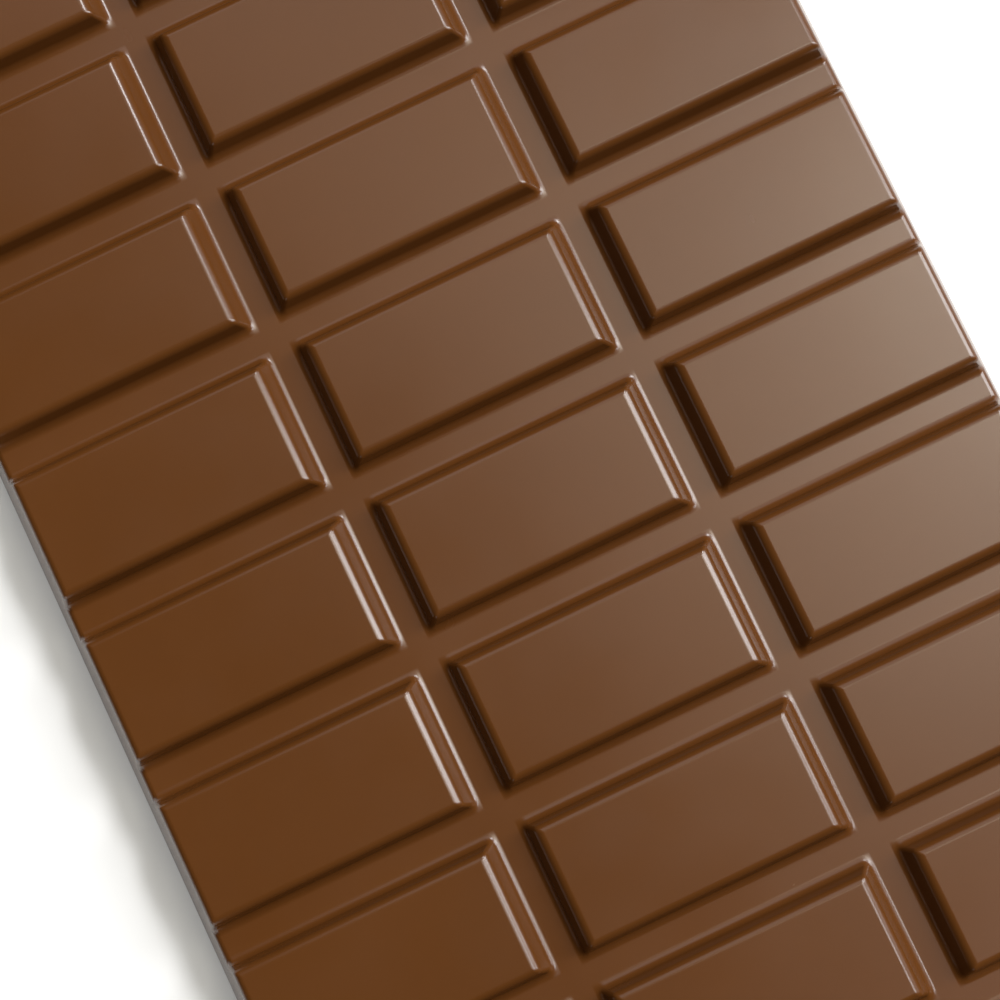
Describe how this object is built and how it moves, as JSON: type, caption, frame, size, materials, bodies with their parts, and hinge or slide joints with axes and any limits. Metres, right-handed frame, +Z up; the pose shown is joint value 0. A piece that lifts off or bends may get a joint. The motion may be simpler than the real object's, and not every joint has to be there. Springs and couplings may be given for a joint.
{
  "type": "chocolate bar",
  "caption": "Moulded milk chocolate bar with a grid of long raised pips divided by channels, drafted sides and a flat back.",
  "frame": {"origin": "middle of the flat underside, which is the bar's poured back", "axes": "+X across the bar, +Y along its length, +Z up through its thickness, towards the pips"},
  "size_m": [0.0726, 0.1578, 0.008],
  "materials": {
    "chocolate": "satin-gloss moulded milk chocolate"
  },
  "bodies": {
    "root": {"chocolate_bar": "chocolate"}
  },
  "joints": []
}
